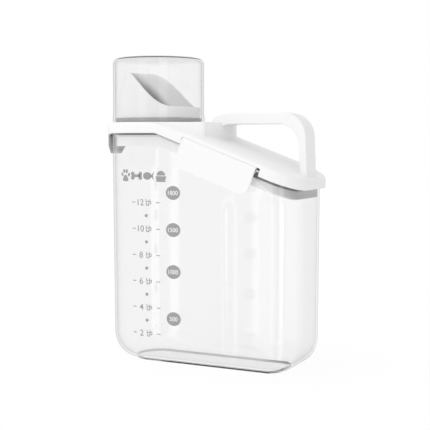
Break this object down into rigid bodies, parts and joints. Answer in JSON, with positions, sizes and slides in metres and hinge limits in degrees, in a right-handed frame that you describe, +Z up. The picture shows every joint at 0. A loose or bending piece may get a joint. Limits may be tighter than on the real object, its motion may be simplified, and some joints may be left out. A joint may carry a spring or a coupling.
{
  "type": "pet food bin",
  "caption": "Clear upright tub with a sloping white lid, pouring spout under a clear measuring cup, carry handle and fold-down latches.",
  "frame": {"origin": "centre of the lid's length and width, on the floor plane the foot stands on", "axes": "+Z up, +X from the spout end to the handle end, -Y the printed side"},
  "size_m": [0.2086, 0.1012, 0.2853],
  "materials": {
    "clear_plastic": "polished clear",
    "white_plastic": "fine satin",
    "grey_silicone": "matte silicone",
    "steel": "plain pin"
  },
  "bodies": {
    "bin": {"bin_body": "clear_plastic"},
    "lid": {"lid_shell": "white_plastic", "lid_plug": "white_plastic", "lid_gasket": "grey_silicone", "spout": "white_plastic", "cup_seal": "grey_silicone", "handle": "white_plastic", "front_latch_pin": "steel", "rear_latch_pin": "steel", "end_latch_pin": "steel"},
    "measuring_cup": {"measuring_cup": "clear_plastic"},
    "front_latch": {"front_latch": "white_plastic"},
    "rear_latch": {"rear_latch": "white_plastic"},
    "end_latch": {"end_latch": "grey_silicone"}
  },
  "joints": [
    {"name": "lid_lift", "type": "slide", "parent": "bin", "child": "lid", "axis": [0, 0, 1], "range_m": [0, 0.09]},
    {"name": "cup_lift", "type": "slide", "parent": "lid", "child": "measuring_cup", "axis": [0, 0, 1], "range_m": [0, 0.08]},
    {"name": "front_latch_hinge", "type": "hinge", "parent": "lid", "child": "front_latch", "pos_m": [0.03165, -0.0476, 0.1956], "axis": [-0.9382, 0, 0.3461], "range_deg": [0, 90]},
    {"name": "rear_latch_hinge", "type": "hinge", "parent": "lid", "child": "rear_latch", "pos_m": [0.03165, 0.0476, 0.1956], "axis": [0.9382, 0, -0.3461], "range_deg": [0, 90]},
    {"name": "end_latch_hinge", "type": "hinge", "parent": "lid", "child": "end_latch", "pos_m": [-0.1012, 0, 0.2183], "axis": [0, 1, 0], "range_deg": [0, 90]}
  ]
}
